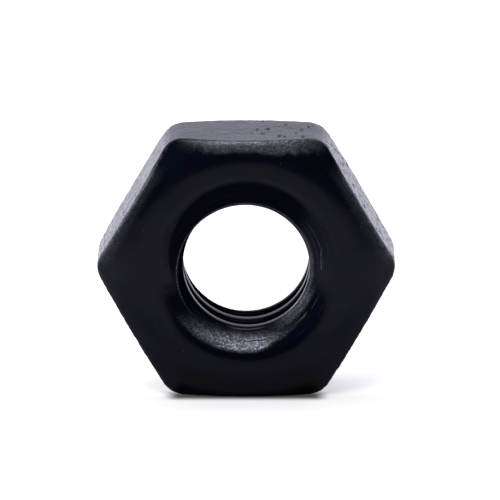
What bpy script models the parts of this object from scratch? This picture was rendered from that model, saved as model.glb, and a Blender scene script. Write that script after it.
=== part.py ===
"""Thin hexagon nut with a right-hand thread, standing upright on one of its six flats.

Metres, +Z up. The origin is on the ground, under the middle of the nut. The axis of the thread
runs along Y at half the width across flats, and the face that looks along -Y is the front.
The nut is one solid: a forged hexagon blank, chamfered and bell-mouthed on both faces, with
the thread cut through its bore.
"""
from math import atan2, ceil, cos, pi, radians, remainder, sin, sqrt, tan

import bmesh
import bpy
from mathutils import Vector

# The hexagon blank
ACROSS_FLATS = 0.0127
THICKNESS = 0.00476
CORNER_RADIUS = 0.0008
CHAMFER_WIDTH = 0.00057
CHAMFER_ANGLE = radians(30)
CHAMFER_EDGE_RADIUS = 0.0026
FLAT_EDGE_RADIUS = 0.00025

# The thread, whose roots lie on the major diameter
MAJOR_DIAMETER = 0.007938
PITCH = 0.001411
FLANK_ANGLE = radians(60)
THREAD_START = radians(104)

# The bell mouth on each face, wider than the thread's roots by its lip
MOUTH_LIP = 0.00024
MOUTH_ANGLE = radians(120)
MOUTH_EDGE_RADIUS = 0.0011

# How finely round shapes are divided
FLAT_STEPS = 10
CORNER_STEPS = 5
EDGE_STEPS = 3
FACE_STEPS = 6
MOUTH_STEPS = 4
THREAD_STEPS = 60

# Proportions of the full-depth 60 degree thread, as shares of its sharp height and of the pitch
THREAD_DEPTH_SHARE = 3 / 4
ROOT_WIDTH_SHARE = 1 / 8
KNEE_SHARE = 1 / 16
CORE_SHARE = 1 / 2

SIDES = 6
HALF_THICKNESS = THICKNESS / 2
FLAT_RADIUS = ACROSS_FLATS / 2
FACE_RADIUS = FLAT_RADIUS - CHAMFER_WIDTH
RING_RADIUS = FACE_RADIUS - CHAMFER_EDGE_RADIUS * tan(CHAMFER_ANGLE / 2)
ROOT_RADIUS = MAJOR_DIAMETER / 2
SHARP_HEIGHT = PITCH / 2 / tan(FLANK_ANGLE / 2)
BORE_RADIUS = ROOT_RADIUS - THREAD_DEPTH_SHARE * SHARP_HEIGHT
MOUTH_RADIUS = ROOT_RADIUS + MOUTH_LIP
MOUTH_DEPTH = (MOUTH_RADIUS - BORE_RADIUS) / tan(MOUTH_ANGLE / 2)


def clear_scene():
    """Remove every object that the scene holds."""
    for item in list(bpy.data.objects):
        bpy.data.objects.remove(item, do_unlink=True)


def black_oxide():
    """Blue-black oxide finish on steel, with a thin film of oil."""
    material = bpy.data.materials.new("black_oxide_steel")
    material.use_nodes = True
    shader = material.node_tree.nodes["Principled BSDF"]
    shader.inputs["Base Color"].default_value = (0.011, 0.012, 0.018, 1.0)
    shader.inputs["Metallic"].default_value = 0.0
    shader.inputs["Roughness"].default_value = 0.36
    return material


def link(name, mesh_builder, parent, material=None):
    """Turn a bmesh into a named object under its parent."""
    mesh = bpy.data.meshes.new(name)
    bmesh.ops.recalc_face_normals(mesh_builder, faces=mesh_builder.faces)
    mesh_builder.to_mesh(mesh)
    mesh_builder.free()
    item = bpy.data.objects.new(name, mesh)
    if material:
        mesh.materials.append(material)
    bpy.context.collection.objects.link(item)
    item.parent = parent
    return item


def thread_axis():
    """An empty at the middle of the nut, whose own Z points backwards along the thread."""
    empty = bpy.data.objects.new("thread_axis", None)
    bpy.context.collection.objects.link(empty)
    empty.location = (0.0, 0.0, FLAT_RADIUS)
    empty.rotation_euler = (radians(-90), 0.0, 0.0)
    return empty


def fillet(before, corner, after, radius, steps):
    """Points of an arc that rounds the corner between two neighbouring points."""
    start = (before - corner).normalized()
    end = (after - corner).normalized()
    half_angle = start.angle(end) / 2
    room = min((before - corner).length, (after - corner).length) / 2
    reach = min(radius / tan(half_angle), room)
    centre = corner + (start + end).normalized() * (reach / cos(half_angle))
    first = corner + start * reach - centre
    last = corner + end * reach - centre
    opening = atan2(first.y, first.x)
    sweep = remainder(atan2(last.y, last.x) - opening, 2 * pi)
    points = []
    for step in range(steps + 1):
        angle = opening + sweep * step / steps
        points.append(centre + Vector((cos(angle), sin(angle))) * first.length)
    return points


def hexagon_outline():
    """Points round the hexagon: each flat in even steps, each corner as an arc."""
    points = []
    middle_of_arc = FLAT_RADIUS - CORNER_RADIUS
    half_side = middle_of_arc * tan(pi / SIDES)
    for side in range(SIDES):
        facing = pi / 2 + side * 2 * pi / SIDES
        outward = Vector((cos(facing), sin(facing)))
        along = Vector((-sin(facing), cos(facing)))
        for step in range(FLAT_STEPS):
            shift = half_side * (2 * step / FLAT_STEPS - 1)
            points.append(outward * FLAT_RADIUS + along * shift)
        centre = outward * middle_of_arc + along * half_side
        for step in range(CORNER_STEPS):
            angle = facing + step / CORNER_STEPS * 2 * pi / SIDES
            points.append(centre + Vector((cos(angle), sin(angle))) * CORNER_RADIUS)
    return points


def face_point(radius):
    """A point of the face's section: a flat ring that rolls over into the conical chamfer."""
    rolled = max(radius - RING_RADIUS, 0.0)
    drop = (radius - FACE_RADIUS) * tan(CHAMFER_ANGLE)
    if rolled < CHAMFER_EDGE_RADIUS * sin(CHAMFER_ANGLE):
        drop = CHAMFER_EDGE_RADIUS - sqrt(CHAMFER_EDGE_RADIUS ** 2 - rolled ** 2)
    return Vector((radius, HALF_THICKNESS - drop))


def half_section(reach):
    """The nut's section from the bore to a side wall at this reach, as (radius, height).

    It runs up the bore, out through the mouth, over the face and down the chamfer.
    """
    throat = Vector((BORE_RADIUS, HALF_THICKNESS - MOUTH_DEPTH))
    lip = Vector((MOUTH_RADIUS, HALF_THICKNESS))
    points = [throat]
    points += fillet(throat, lip, face_point(RING_RADIUS), MOUTH_EDGE_RADIUS, MOUTH_STEPS)
    width = reach - FLAT_EDGE_RADIUS - RING_RADIUS
    for step in range(FACE_STEPS + 1):
        points.append(face_point(RING_RADIUS + width * step / FACE_STEPS))
    waist = Vector((reach, 0.0))
    points += fillet(points[-1], face_point(reach), waist, FLAT_EDGE_RADIUS, EDGE_STEPS)
    return points


def blank():
    """The nut before its thread is cut: one closed section lofted round the axis."""
    builder = bmesh.new()
    loops = []
    for point in hexagon_outline():
        facing = point.normalized()
        upper = half_section(point.length)
        lower = [Vector((radius, -height)) for radius, height in reversed(upper)]
        loop = []
        for radius, height in upper + lower:
            loop.append(builder.verts.new((facing.x * radius, facing.y * radius, height)))
        loops.append(loop)
    sew(builder, loops + loops[:1])
    return builder


def sew(builder, loops):
    """Faces between each loop and the next."""
    for near, far in zip(loops, loops[1:]):
        for place in range(len(near)):
            after = (place + 1) % len(near)
            builder.faces.new((near[place], near[after], far[after], far[place]))


def thread_tool():
    """The thread's groove as a worm: its section swept along a right-hand helix."""
    half_root = ROOT_WIDTH_SHARE * PITCH / 2
    knee_radius = BORE_RADIUS - KNEE_SHARE * PITCH
    half_knee = half_root + (ROOT_RADIUS - knee_radius) * tan(FLANK_ANGLE / 2)
    core_radius = BORE_RADIUS - CORE_SHARE * PITCH
    section = [
        (core_radius, -half_knee),
        (knee_radius, -half_knee),
        (ROOT_RADIUS, -half_root),
        (ROOT_RADIUS, half_root),
        (knee_radius, half_knee),
        (core_radius, half_knee),
    ]
    builder = bmesh.new()
    steps = ceil((HALF_THICKNESS / PITCH + 1) * THREAD_STEPS)
    loops = []
    for step in range(-steps, steps + 1):
        turns = step / THREAD_STEPS
        angle = THREAD_START + turns * 2 * pi
        loop = []
        for radius, height in section:
            place = (radius * cos(angle), radius * sin(angle), height + turns * PITCH)
            loop.append(builder.verts.new(place))
        loops.append(loop)
    sew(builder, loops)
    builder.faces.new(loops[0])
    builder.faces.new(loops[-1])
    return builder


def hex_nut():
    """The finished nut: the blank with its thread cut."""
    axis = thread_axis()
    nut = link("hex_nut", blank(), axis, black_oxide())
    tool = link("thread_tool", thread_tool(), axis)
    tool.hide_render = True
    tool.display_type = "WIRE"
    cut = nut.modifiers.new("cut_thread", "BOOLEAN")
    cut.operation = "DIFFERENCE"
    cut.solver = "EXACT"
    cut.object = tool
    nut.data.shade_smooth()
    nut.data.set_sharp_from_angle(angle=radians(25))
    return nut


clear_scene()
hex_nut()
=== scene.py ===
from math import ceil, cos, pi, radians, sin, tan

import bmesh
import bpy
from mathutils import Matrix, Vector


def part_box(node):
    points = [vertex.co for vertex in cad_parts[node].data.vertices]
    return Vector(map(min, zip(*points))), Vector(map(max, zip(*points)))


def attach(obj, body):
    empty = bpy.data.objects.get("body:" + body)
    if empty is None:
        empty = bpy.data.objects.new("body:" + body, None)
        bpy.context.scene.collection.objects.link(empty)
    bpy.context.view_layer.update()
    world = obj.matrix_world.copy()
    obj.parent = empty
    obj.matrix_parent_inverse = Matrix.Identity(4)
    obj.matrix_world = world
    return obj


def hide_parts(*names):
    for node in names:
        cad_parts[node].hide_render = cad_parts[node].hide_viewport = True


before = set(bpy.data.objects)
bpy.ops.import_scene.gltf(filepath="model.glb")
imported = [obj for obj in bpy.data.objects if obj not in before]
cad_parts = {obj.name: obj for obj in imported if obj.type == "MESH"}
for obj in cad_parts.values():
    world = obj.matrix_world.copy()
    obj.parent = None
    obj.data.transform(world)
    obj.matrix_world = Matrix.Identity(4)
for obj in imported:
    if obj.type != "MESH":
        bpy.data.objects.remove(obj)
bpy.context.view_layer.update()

# The nut is modelled round its own axis in units, 11.11 of them across flats, and brought to
# its size in metres at the end
ACROSS_FLATS = 11.11
nut_low, nut_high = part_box("hex_nut")
UNIT = (nut_high.z - nut_low.z) / ACROSS_FLATS
THICKNESS = (nut_high.y - nut_low.y) / UNIT
CORNER_RADIUS = 0.95
CHAMFER_WIDTH = 0.5
CHAMFER_ANGLE = radians(30)
MAJOR_DIAMETER = 6.35
PITCH_IN_METRES = 0.001411
PITCH = PITCH_IN_METRES / UNIT
FLANK_ANGLE = radians(60)
THREAD_START = radians(212)
MOUTH_LIP = 0.53
MOUTH_ANGLE = radians(120)
MOUTH_EDGE_RADIUS = 1.12
THROAT_EDGE_RADIUS = 0.35
CHAMFER_EDGE_RADIUS = 2.1
CREST_REACH = 0.1
ROOT_REACH = 0.05

# Half a crest's width as a share of the pitch, and the stops down a flank, from crest to root
HALF_CREST_SHARE = 3 / 16
FLANK_STOPS = (0, 0.25, 0.85, 1)

# The hole is drilled this much inside the crests, so that the tap cuts its whole wall
DRILL_PLAY = 0.04

# The turned ring reaches this many times as far out as the hexagon's flats
LATHE_OVERSIZE = 1.4

FLAT_RADIUS = ACROSS_FLATS / 2
HALF_THICKNESS = THICKNESS / 2
FACE_RADIUS = FLAT_RADIUS - CHAMFER_WIDTH
ROOT_RADIUS = MAJOR_DIAMETER / 2
THREAD_DEPTH = PITCH / 4 / tan(FLANK_ANGLE / 2)
CREST_RADIUS = ROOT_RADIUS - THREAD_DEPTH
MOUTH_RADIUS = ROOT_RADIUS + MOUTH_LIP
DRILL_RADIUS = CREST_RADIUS - DRILL_PLAY

# Finish of the forged surface
GRAIN_SIZE = 0.075
SMOOTHING_PASSES = 6
SWELL_SIZE = 1.4
SWELL_DEPTH = 0.026
SCALE_SIZE = 0.2
SCALE_DEPTH = 0.045
SIDE_REACH = 0.22
LEVEL_FLAT_CALM = 3
SMOOTH_ANGLE = radians(40)

# How finely round shapes are divided, and how close two points are that count as one
LATHE_STEPS = 288
THREAD_STEPS = 144
EDGE_STEPS = 8
THREAD_EDGE_STEPS = 3
NEAR = 1e-4

# Colours of the oxide, of the flat oxide that paints shade round the bore, and of the metal
# where it is rubbed bare
OXIDE_DARK = (0.0008, 0.0011, 0.004, 1)
OXIDE_LIGHT = (0.001, 0.0019, 0.0078, 1)
OXIDE_IN_PAINTED_SHADE = (0.0012, 0.0014, 0.0042, 1)
METAL_DULL = (0.075, 0.077, 0.09, 1)
METAL_BRIGHT = (0.42, 0.435, 0.52, 1)
OIL_IOR = 1.24
RELIEF = 0.026

# Scales of the patterns on the surface, per unit
CLOUD_SCALE = 0.57
STAIN_SCALE = 1.8
SCRATCH_SCALE = 2.6
PIT_SCALE = 4.2
GRAIN_SCALE = 9.0
TURNING_SCALE = 12.0
SPECK_SCALE = 18.0

# How far right of the axis the long scratch beside the bore lies
SCRATCH_SIDE = 3.13

# Floor, background and lights
FLOOR_SIZE = 0.6
FLOOR_COLOUR = 0.8
FLOOR_LIFT = 0.55
# Lift of the floor seen in reflections only: painted reflection light
MIRROR_LIFT = 0.8
ROOM_COLOUR = (0.09, 0.092, 0.11, 1)
SHEET_COLOUR = (1.02, 1.03, 1.22, 1)
# Bluish tint of the floor's lift in reflections only: painted reflection colour
PAINTED_REFLECTION_TINT = (1, 1, 1.15, 1)
WHITE = (1, 1, 1, 1)
BLACK = (0, 0, 0, 1)

# The camera, and where the photo shows the middle of the nut
ELEVATION = radians(15)
PIXELS = 500
PIXELS_ACROSS_FLATS = 265.2
NUT_MIDDLE = (246.2, 258.2)
DISTANCE = 40 * ACROSS_FLATS * UNIT
SENSOR = 36.0


def pick(item):
    """Make this the only selected object and the active one."""
    bpy.ops.object.select_all(action="DESELECT")
    item.select_set(True)
    bpy.context.view_layer.objects.active = item


def draw(name, points):
    """A line of edges in the XZ plane, extruded from a single vertex leg by leg."""
    start = Vector((points[0][0], 0.0, points[0][1]))
    bpy.ops.mesh.primitive_plane_add(size=1.0, location=start)
    item = bpy.context.object
    item.name = name
    bpy.ops.object.transform_apply(location=True, rotation=True, scale=True)
    bpy.ops.object.mode_set(mode="EDIT")
    bpy.ops.mesh.select_mode(type="VERT")
    bpy.ops.mesh.select_all(action="SELECT")
    bpy.ops.mesh.merge(type="CENTER")
    for before, after in zip(points, points[1:]):
        leg = (after[0] - before[0], 0.0, after[1] - before[1])
        bpy.ops.mesh.extrude_vertices_move(TRANSFORM_OT_translate={"value": leg})
    bpy.ops.object.mode_set(mode="OBJECT")
    return item


def choose_vertices(item, test):
    """In edit mode, select just the vertices that pass the test."""
    bpy.ops.mesh.select_mode(type="VERT")
    bpy.ops.mesh.select_all(action="DESELECT")
    mesh = bmesh.from_edit_mesh(item.data)
    for vertex in mesh.verts:
        vertex.select_set(test(vertex.co))
    mesh.select_flush(True)
    bmesh.update_edit_mesh(item.data)


def choose_edges(item, test):
    """In edit mode, select just the edges that pass the test."""
    bpy.ops.mesh.select_mode(type="EDGE")
    bpy.ops.mesh.select_all(action="DESELECT")
    mesh = bmesh.from_edit_mesh(item.data)
    for edge in mesh.edges:
        edge.select_set(test(edge))
    bmesh.update_edit_mesh(item.data)


def cut(item, tool, operation):
    """Apply an exact Boolean and remove the tool."""
    pick(item)
    step = item.modifiers.new("cut", "BOOLEAN")
    step.operation = operation
    step.solver = "EXACT"
    step.object = tool
    bpy.ops.object.modifier_apply(modifier=step.name)
    bpy.data.objects.remove(tool, do_unlink=True)


def soften(item, radius, reach):
    """In edit mode, round the corners of a section that lie at this radius."""
    choose_vertices(item, lambda place: abs(place.x - radius) < NEAR)
    bpy.ops.mesh.bevel(offset=reach, segments=EDGE_STEPS, affect="VERTICES")


def turned_ring():
    """The nut as a lathe would leave it: bore, mouths, faces and chamfers, but no flats."""
    far = FLAT_RADIUS * LATHE_OVERSIZE
    fall = (far - FACE_RADIUS) * tan(CHAMFER_ANGLE)
    throat = HALF_THICKNESS - (MOUTH_RADIUS - DRILL_RADIUS) / tan(MOUTH_ANGLE / 2)
    front = [
        (DRILL_RADIUS, throat),
        (MOUTH_RADIUS, HALF_THICKNESS),
        (FACE_RADIUS, HALF_THICKNESS),
        (far, HALF_THICKNESS - fall),
    ]
    back = [(radius, -height) for radius, height in reversed(front)]
    ring = draw("turned_ring", front + back)
    bpy.ops.object.mode_set(mode="EDIT")
    choose_vertices(ring, lambda place: abs(place.x - DRILL_RADIUS) < NEAR)
    bpy.ops.mesh.edge_face_add()
    mouth_turn = pi / 2 - MOUTH_ANGLE / 2
    soften(ring, DRILL_RADIUS, THROAT_EDGE_RADIUS * tan(MOUTH_ANGLE / 4))
    soften(ring, MOUTH_RADIUS, MOUTH_EDGE_RADIUS * tan(mouth_turn / 2))
    soften(ring, FACE_RADIUS, CHAMFER_EDGE_RADIUS * tan(CHAMFER_ANGLE / 2))
    bpy.ops.mesh.select_all(action="SELECT")
    bpy.ops.mesh.spin(steps=LATHE_STEPS, angle=2 * pi, center=(0, 0, 0), axis=(0, 0, 1))
    bpy.ops.mesh.select_all(action="SELECT")
    bpy.ops.mesh.remove_doubles(threshold=NEAR)
    bpy.ops.mesh.normals_make_consistent(inside=False)
    bpy.ops.object.mode_set(mode="OBJECT")
    return ring


def hexagon_bar():
    """A length of hexagon bar with rounded corners."""
    bpy.ops.mesh.primitive_cylinder_add(
        vertices=6, radius=FLAT_RADIUS / cos(pi / 6), depth=2 * THICKNESS,
        rotation=(0, 0, radians(90)),
    )
    bar = bpy.context.object
    bar.name = "hexagon_bar"
    bpy.ops.object.transform_apply(location=True, rotation=True, scale=True)
    bpy.ops.object.mode_set(mode="EDIT")
    choose_edges(bar, lambda edge: abs(edge.verts[0].co.z - edge.verts[1].co.z) > THICKNESS)
    reach = CORNER_RADIUS * tan(pi / 6)
    bpy.ops.mesh.bevel(offset=reach, segments=EDGE_STEPS, affect="EDGES")
    bpy.ops.object.mode_set(mode="OBJECT")
    return bar


def tap():
    """A threaded rod of the internal thread's own form, with softened crests."""
    turns = ceil(THICKNESS / PITCH) + 2
    crest = HALF_CREST_SHARE * PITCH
    flank = PITCH / 4
    bottom = -turns * PITCH / 2
    profile = [(CREST_RADIUS, bottom)]
    for share in FLANK_STOPS:
        profile.append((CREST_RADIUS + share * THREAD_DEPTH, bottom + crest + share * flank))
    for radius, height in profile[:0:-1]:
        profile.append((radius, 2 * bottom + PITCH - height))
    profile.append((CREST_RADIUS, bottom + PITCH))
    rod = draw("tap", profile)
    bpy.ops.object.mode_set(mode="EDIT")
    rounded = (
        (profile[1], CREST_REACH),
        (profile[4], ROOT_REACH),
        (profile[5], ROOT_REACH),
        (profile[8], CREST_REACH),
    )
    for (radius, height), reach in rounded:
        choose_vertices(rod, lambda place: abs(place.x - radius) + abs(place.z - height) < NEAR)
        bpy.ops.mesh.bevel(offset=reach, segments=THREAD_EDGE_STEPS, affect="VERTICES")
    bpy.ops.object.mode_set(mode="OBJECT")
    sweep = rod.modifiers.new("sweep", "SCREW")
    sweep.axis = "Z"
    sweep.angle = 2 * pi
    sweep.screw_offset = PITCH
    sweep.iterations = turns
    sweep.steps = THREAD_STEPS
    sweep.render_steps = THREAD_STEPS
    pick(rod)
    bpy.ops.object.modifier_apply(modifier=sweep.name)
    bpy.ops.object.mode_set(mode="EDIT")
    bpy.ops.mesh.select_all(action="SELECT")
    bpy.ops.mesh.remove_doubles(threshold=NEAR)
    for end in (-1, 1):
        choose_edges(rod, lambda edge: edge.is_boundary and end * edge.verts[0].co.z > 0)
        bpy.ops.mesh.extrude_edges_move()
        bpy.ops.mesh.merge(type="CENTER")
    bpy.ops.mesh.select_all(action="SELECT")
    bpy.ops.mesh.normals_make_consistent(inside=False)
    bpy.ops.transform.translate(value=(0, 0, -PITCH / 2))
    bpy.ops.object.mode_set(mode="OBJECT")
    rod.rotation_euler.z = THREAD_START
    bpy.ops.object.transform_apply(location=True, rotation=True, scale=True)
    return rod


def side_gap(place):
    """How far a place lies inside the nearest of the six flats."""
    slanted = abs(place.y) * sin(pi / 6) + abs(place.x) * cos(pi / 6)
    return FLAT_RADIUS - max(abs(place.y), slanted)


def dent(item, name, size, depth, group=""):
    """Sink the surface by a cloudy pattern, never beyond where it was."""
    texture = bpy.data.textures.new(name, "CLOUDS")
    texture.noise_scale = size
    texture.noise_depth = 2
    step = item.modifiers.new(name, "DISPLACE")
    step.texture = texture
    step.texture_coords = "LOCAL"
    step.mid_level = 1.0
    step.strength = depth
    step.vertex_group = group
    pick(item)
    bpy.ops.object.modifier_apply(modifier=step.name)


def forged_nut():
    """The whole nut with softly worn edges, at its place in the frame."""
    nut = turned_ring()
    cut(nut, hexagon_bar(), "INTERSECT")
    skin = nut.modifiers.new("skin", "REMESH")
    skin.mode = "VOXEL"
    skin.voxel_size = GRAIN_SIZE
    wear = nut.modifiers.new("wear", "SMOOTH")
    wear.factor = 0.5
    wear.iterations = SMOOTHING_PASSES
    pick(nut)
    bpy.ops.object.modifier_apply(modifier=skin.name)
    bpy.ops.object.modifier_apply(modifier=wear.name)
    sides = nut.vertex_groups.new(name="sides")
    for vertex in nut.data.vertices:
        nearness = 1 - side_gap(vertex.co) / SIDE_REACH
        if abs(vertex.co.y) > FLAT_RADIUS - SIDE_REACH:
            nearness = nearness / LEVEL_FLAT_CALM
        if nearness > 0:
            sides.add([vertex.index], min(nearness, 1.0), "REPLACE")
    dent(nut, "swell", SWELL_SIZE, SWELL_DEPTH)
    dent(nut, "scale", SCALE_SIZE, SCALE_DEPTH, "sides")
    cut(nut, tap(), "DIFFERENCE")
    nut.name = "forged_nut"
    nut.data.transform(
        Matrix.Translation((0, 0, FLAT_RADIUS * UNIT))
        @ Matrix.Rotation(radians(-90), 4, "X")
        @ Matrix.Scale(UNIT, 4)
    )
    pick(nut)
    bpy.ops.object.shade_smooth_by_angle(angle=SMOOTH_ANGLE)
    return nut


class Link:
    """A socket of a shader tree. Arithmetic on it adds Math nodes, and node() adds any other."""

    def __init__(self, tree, socket=None):
        self.tree = tree
        self.socket = socket

    def node(self, kind, settings=None, sockets=None, output=0):
        """Add a node, set it up, feed its sockets and return one of its outputs."""
        made = self.tree.nodes.new(kind)
        for name, value in (settings or {}).items():
            setattr(made, name, value)
        for name, value in (sockets or {}).items():
            if isinstance(value, Link):
                self.tree.links.new(value.socket, made.inputs[name])
            else:
                made.inputs[name].default_value = value
        return Link(self.tree, made.outputs[output])

    def math(self, operation, *values):
        """Add a Math node on these values."""
        sockets = dict(enumerate(values))
        return self.node("ShaderNodeMath", {"operation": operation}, sockets)

    def __add__(self, other):
        return self.math("ADD", self, other)

    def __radd__(self, other):
        return self.math("ADD", other, self)

    def __sub__(self, other):
        return self.math("SUBTRACT", self, other)

    def __rsub__(self, other):
        return self.math("SUBTRACT", other, self)

    def __mul__(self, other):
        return self.math("MULTIPLY", self, other)

    def __rmul__(self, other):
        return self.math("MULTIPLY", other, self)

    def __truediv__(self, other):
        return self.math("DIVIDE", self, other)

    def __pow__(self, other):
        return self.math("POWER", self, other)

    def __abs__(self):
        return self.math("ABSOLUTE", self)

    def above(self, other):
        """The larger of two values."""
        return self.math("MAXIMUM", self, other)

    def fade(self, none, full):
        """Runs smoothly from 0 where the value is at none to 1 where it is at full."""
        sockets = {"Value": self, "From Min": none, "From Max": full}
        return self.node("ShaderNodeMapRange", {"interpolation_type": "SMOOTHSTEP"}, sockets)

    def mix(self, low, high):
        """A colour from low to high, with this value as the factor."""
        sockets = {"Factor": self, 6: low, 7: high}
        return self.node("ShaderNodeMix", {"data_type": "RGBA"}, sockets, 2)

    def noise(self, scale, detail=2.0, roughness=0.5):
        """Soft noise on this vector, from 0 to 1 round a middle of 0.5."""
        sockets = {"Vector": self, "Scale": scale, "Detail": detail, "Roughness": roughness}
        return self.node("ShaderNodeTexNoise", None, sockets)


def black_oxide_steel():
    """Blue-black oxide on steel: oily on the faces, grainy and rubbed on mouths and chamfers,
    with painted shade round the bore and in the thread.
    """
    material = bpy.data.materials.new("black_oxide_steel")
    material.use_nodes = True
    tree = material.node_tree
    shader = tree.nodes["Principled BSDF"]
    start = Link(tree)
    coordinates = start.node("ShaderNodeTexCoord", None, None, "Object")
    centred = start.node(
        "ShaderNodeVectorMath", {"operation": "SUBTRACT"},
        {0: coordinates, 1: (0.0, 0.0, FLAT_RADIUS * UNIT)},
    )
    place = start.node(
        "ShaderNodeVectorMath", {"operation": "SCALE"}, {0: centred, "Scale": 1 / UNIT}
    )
    x = place.node("ShaderNodeSeparateXYZ", None, {0: place}, "X")
    y = place.node("ShaderNodeSeparateXYZ", None, {0: place}, "Y")
    z = place.node("ShaderNodeSeparateXYZ", None, {0: place}, "Z")

    # Distance from the axis, and from the nearest flat
    radius = (x * x + z * z) ** 0.5
    gap = FLAT_RADIUS - abs(z).above(abs(x) * cos(pi / 6) + abs(z) * sin(pi / 6))

    # Patterns from broad to fine, and the specks that glint in rubbed metal
    clouds = place.noise(CLOUD_SCALE, 3.0)
    stains = place.noise(STAIN_SCALE, 5.0, 0.65)
    ragged = (stains - 0.5) * 0.5
    grain = place.noise(GRAIN_SCALE, 3.0, 0.65)
    fine_cells = {"Vector": place, "Scale": SPECK_SCALE}
    grains = place.node("ShaderNodeTexVoronoi", None, fine_cells, "Color")
    specks = place.node("ShaderNodeSeparateColor", None, {0: grains}, "Red")

    # Pits, most of them on the right of the nut, and small bright flecks
    flattened = place.node(
        "ShaderNodeVectorMath", {"operation": "MULTIPLY"}, {0: place, 1: (1.0, 0.4, 1.0)}
    )
    cells = {"Vector": flattened, "Scale": PIT_SCALE}
    pits = place.node("ShaderNodeTexVoronoi", None, cells, "Distance")
    kinds = place.node("ShaderNodeTexVoronoi", None, cells, "Color")
    kind = place.node("ShaderNodeSeparateColor", None, {0: kinds}, "Red")
    size = place.node("ShaderNodeSeparateColor", None, {0: kinds}, "Green")
    pitted = (pits + size * 0.25 + (grain - 0.5) * 0.5).fade(0.6, 0.25)
    pitted = pitted * (kind + x.fade(-0.5, 1.8) * 0.4 - x.fade(2.6, 3.4) * 0.1).fade(0.98, 1.04)
    flecks = pits.fade(0.14, 0.06) * kind.fade(0.05, 0.04)

    # Where the chamfers, the flats and the front half lie
    sunk = HALF_THICKNESS - abs(y) - (radius - FACE_RADIUS) * tan(CHAMFER_ANGLE)
    on_cone = sunk.fade(0.16, 0.05)
    on_flat = gap.fade(0.14, 0.035) * (1 - on_cone)
    front = y.fade(0.0, -0.5)

    # The thread: depth below the mouth's wall, place across the groove, and rubbed edges
    inside = HALF_THICKNESS - abs(y) - (MOUTH_RADIUS - radius) * tan(pi / 2 - MOUTH_ANGLE / 2)
    angle = place.math("ARCTAN2", z * -1.0, x) - THREAD_START
    groove = place.math("WRAP", y - angle * (PITCH / (2 * pi)), PITCH / 2, -PITCH / 2)
    half_groove = (ROOT_RADIUS - radius) * tan(FLANK_ANGLE / 2) + PITCH / 16
    ridge_edge = abs(half_groove - abs(groove)).fade(0.09, 0.02) * radius.fade(3.05, 2.9)
    throat_edge = radius.fade(CREST_RADIUS + 0.22, CREST_RADIUS + 0.12)
    edge_rub = ridge_edge.above(throat_edge) * inside.fade(0.15, 0.05) * front * 0.5
    in_thread = inside.fade(0.08, 0.2) * radius.fade(ROOT_RADIUS + 0.1, ROOT_RADIUS)
    in_groove = in_thread * radius.fade(CREST_RADIUS, CREST_RADIUS + 0.05) * y.fade(-1.4, -1.0)

    # A scratch beside the bore, and turning marks round it
    line = place.noise(SCRATCH_SCALE, 1.0)
    scratch = abs(x - SCRATCH_SIDE - (line - 0.5) * 0.1).fade(0.045, 0.01)
    scratch = scratch * z.fade(-0.15, 0.15) * z.fade(1.05, 0.75) * front * 0.3
    rings = place.node(
        "ShaderNodeTexNoise", {"noise_dimensions": "1D"},
        {"W": radius * TURNING_SCALE, "Scale": 1.0},
    )
    marks = rings.fade(0.62, 0.7) * clouds.fade(0.48, 0.6) * radius.fade(3.6, 3.4)
    marks = marks * radius.fade(2.7, 2.8) * front * 0.25

    # The grainy band in the mouth, narrower on the right
    cut_short = (x + ragged * 2).fade(0.4, 1.9)
    in_mouth = radius + ragged * 0.3 + cut_short * 0.3
    in_mouth = in_mouth.fade(MOUTH_RADIUS - 0.08, MOUTH_RADIUS - 0.25)
    in_mouth = in_mouth * y.fade(-0.95, -1.3) * (radius + ragged * 0.6).fade(2.75, 3.25)

    # Metal rubbed through the oxide on the chamfers and in the mouth
    brow = (radius + ragged * 0.8).fade(FACE_RADIUS - 0.06, FACE_RADIUS + 0.16)
    brow = brow * sunk.fade(0.34, 0.16) * front
    under_top = (FLAT_RADIUS - z + ragged * 1.6 + abs(x - 0.8) * 0.06).fade(0.78, 0.4)
    top_rub = brow * under_top * (abs(x - 0.45) + ragged * 2).fade(3.4, 1.2)
    side_rub = (gap + ragged * 0.3).fade(0.22, 0.02) * 0.5 + (gap + ragged).fade(0.6, 0.1) * 0.2
    side_rub = on_cone * side_rub * z.fade(-0.2, 0.6) * z.fade(4.6, 3.6)
    mouth_rub = in_mouth * (z + ragged).fade(-1.7, -2.8) * (1 - cut_short * 0.75)
    mouth_rub = mouth_rub * (1 - (x + 0.3).fade(-0.6, -2.4) * 0.8)
    mouth_rub = mouth_rub * (1 - (x + 0.3).fade(0.8, 2.6) * 0.68)
    rubbed = (top_rub * 0.74).above(mouth_rub).above(side_rub).above(edge_rub)
    rubbed = rubbed.above(marks).above(scratch).above(flecks * 0.25)

    # Colour and gloss
    glints = specks ** 2 * (0.35 + in_mouth * 0.65)
    metal = glints.mix(METAL_DULL, METAL_BRIGHT)
    base = clouds.fade(0.35, 0.7).mix(OXIDE_DARK, OXIDE_LIGHT)
    colour = rubbed.mix(base, metal)
    tree.links.new(colour.socket, shader.inputs["Base Color"])
    tree.links.new(rubbed.socket, shader.inputs["Metallic"])
    roughness = 0.14 + stains * 0.1 + rubbed * 0.25 + pitted * on_flat * 0.35
    tree.links.new(roughness.socket, shader.inputs["Roughness"])
    shader.inputs["IOR"].default_value = OIL_IOR

    # Relief of grain and pits
    worn = (on_flat * 0.5).above(rubbed)
    height = grain * (0.05 + worn * 0.95) - pitted * on_flat * 0.6
    relief = {"Height": height, "Strength": 1.0, "Distance": RELIEF * UNIT}
    bump = start.node("ShaderNodeBump", None, relief)
    tree.links.new(bump.socket, shader.inputs["Normal"])
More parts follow.
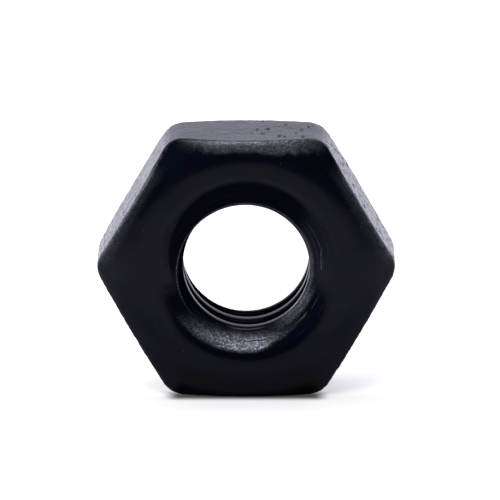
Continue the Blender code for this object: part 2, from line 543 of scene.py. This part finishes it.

    # Painted shade: round the upper bore, on the mouth's lower rim and in the thread, the oil's
    # shine gives way to a flat dark diffuse, which darkens them
    shade_diffuse = start.node("ShaderNodeBsdfDiffuse", None, {"Color": OXIDE_IN_PAINTED_SHADE})
    painted_shade = (radius - z * 0.17 + ragged * 0.1).fade(3.3, 3.1) * z.fade(-1.2, 0.2) * 0.85
    painted_shade = painted_shade * (1 - (x - z * 0.4).fade(1.0, 2.4) * 0.8)
    rim = radius.fade(MOUTH_RADIUS - 0.15, MOUTH_RADIUS) * radius.fade(4.15, 3.8)
    painted_shade = painted_shade.above(rim * z.fade(-2.2, -3.0) * 0.55)
    painted_shade = painted_shade.above(in_groove * 0.9).above(in_thread * 0.35) * (1 - edge_rub * 1.8)
    oily = Link(tree, shader.outputs[0])
    both = start.node("ShaderNodeMixShader", None, {0: painted_shade, 1: oily, 2: shade_diffuse})
    tree.links.new(both.socket, tree.nodes["Material Output"].inputs["Surface"])
    return material


def pale_floor():
    """A white sheet that keeps the shadow. It is lifted to white for the camera and, away from
    the nut, in reflections."""
    material = bpy.data.materials.new("pale_floor")
    material.use_nodes = True
    tree = material.node_tree
    shader = tree.nodes["Principled BSDF"]
    start = Link(tree)
    seen = start.node("ShaderNodeLightPath", None, None, "Is Camera Ray")
    mirrored = start.node("ShaderNodeLightPath", None, None, "Is Glossy Ray")
    where = start.node("ShaderNodeTexCoord", None, None, "Object")
    distance = start.node(
        "ShaderNodeVectorMath", {"operation": "LENGTH"}, {0: where}, "Value"
    ) / UNIT
    front = start.node("ShaderNodeSeparateXYZ", None, {0: where}, "Y") / -UNIT
    x = start.node("ShaderNodeSeparateXYZ", None, {0: where}, "X") / UNIT

    # Painted shade in reflections: the floor that the nut mirrors is darkened close by and in
    # front. A painted contact shadow lies along the nut's foot
    dim = mirrored * distance.fade(9.6, 3.5).above(front.fade(3.0, 9.0)) * 0.36
    painted_contact_shadow = front.fade(2.4, 1.7) * front.fade(0.5, 1.5) * abs(x).fade(3.6, 2.8) * 0.9
    shaded = dim.above(painted_contact_shadow)
    colour = shaded.mix((FLOOR_COLOUR, FLOOR_COLOUR, FLOOR_COLOUR, 1), BLACK)
    tree.links.new(colour.socket, shader.inputs["Base Color"])
    shader.inputs["Roughness"].default_value = 0.9
    shader.inputs["Specular IOR Level"].default_value = 0.0

    # The lift to white. Painted shade lowers it in front of the nut and painted light raises it
    # on the left; in reflections only, painted light lifts the floor away from the nut, in a
    # bluish tint
    far = distance.fade(8.0, 24.0) * (1 - front.fade(13.0, 44.0) * 0.9)
    painted_front_shade = front.fade(6.0, 3.4) * front.fade(0.5, 2.0)
    left = x.fade(-3.0, -7.0)
    seen_lift = (FLOOR_LIFT - painted_front_shade * 0.24 + left * 0.1) * (1 - painted_contact_shadow)
    lift = seen * seen_lift + mirrored * far * (1 - dim) * MIRROR_LIFT
    tint = mirrored.mix(WHITE, PAINTED_REFLECTION_TINT)
    glow = start.node("ShaderNodeEmission", None, {"Color": tint, "Strength": lift})
    both = start.node("ShaderNodeAddShader", None, {0: Link(tree, shader.outputs[0]), 1: glow})
    tree.links.new(both.socket, tree.nodes["Material Output"].inputs["Surface"])
    return material


def studio():
    """White behind the nut and a dim room in front of it; the camera sees white all round."""
    world = bpy.data.worlds.new("studio")
    world.use_nodes = True
    tree = world.node_tree
    start = Link(tree)
    direction = start.node("ShaderNodeTexCoord", None, None, "Generated")
    behind = start.node("ShaderNodeSeparateXYZ", None, {0: direction}, "Y").fade(-0.28, 0.16)
    seen = start.node("ShaderNodeLightPath", None, None, "Is Camera Ray")
    colour = seen.mix(behind.mix(ROOM_COLOUR, SHEET_COLOUR), WHITE)
    tree.links.new(colour.socket, tree.nodes["Background"].inputs["Color"])
    return world


def lamp(name, width, height, distance, left, elevation, level):
    """A soft rectangular lamp that faces the foot of the nut from the left of the front."""
    light = bpy.data.lights.new(name, "AREA")
    light.shape = "RECTANGLE"
    light.size = width
    light.size_y = height
    light.energy = level * pi * width * height
    item = bpy.data.objects.new(name, light)
    bpy.context.collection.objects.link(item)
    away = Vector((-cos(elevation) * sin(left), -cos(elevation) * cos(left), sin(elevation)))
    item.location = away * distance
    item.rotation_euler = away.to_track_quat("Z", "Y").to_euler()
    return item


def photo_camera():
    """The camera at the photo's angle, so far away that parallel lines hardly converge."""
    frame_width = PIXELS / PIXELS_ACROSS_FLATS * ACROSS_FLATS * UNIT
    back = Vector((0, -cos(ELEVATION), sin(ELEVATION)))
    right = Vector((1, 0, 0))
    up = right.cross(-back)
    pixel = frame_width / PIXELS
    aim = Vector((0, 0, FLAT_RADIUS * UNIT)) + right * (PIXELS / 2 - NUT_MIDDLE[0]) * pixel
    aim = aim - up * (PIXELS / 2 - NUT_MIDDLE[1]) * pixel
    camera = bpy.data.objects.new("camera", bpy.data.cameras.new("camera"))
    bpy.context.collection.objects.link(camera)
    camera.data.sensor_width = SENSOR
    camera.data.lens = SENSOR * DISTANCE / frame_width
    camera.data.clip_start = 0.01
    camera.data.clip_end = 10
    camera.location = aim + back * DISTANCE
    camera.rotation_euler = (-back).to_track_quat("-Z", "Y").to_euler()
    return camera


bpy.ops.object.select_all(action="DESELECT")
nut = forged_nut()
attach(nut, "root")
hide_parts("hex_nut")
nut.data.materials.clear()
nut.data.materials.append(black_oxide_steel())

bpy.ops.mesh.primitive_plane_add(size=FLOOR_SIZE)
floor = bpy.context.object
floor.name = "floor"
floor.data.materials.append(pale_floor())

bpy.context.scene.world = studio()
lamp(
    "softbox", width=0.1, height=0.06, distance=0.18,
    left=radians(14), elevation=radians(62), level=8.0,
)
lamp(
    "side_fill", width=0.14, height=0.1, distance=0.25,
    left=radians(80), elevation=radians(25), level=5.0,
)
bpy.context.scene.camera = photo_camera()
bpy.context.scene.view_settings.view_transform = "Standard"
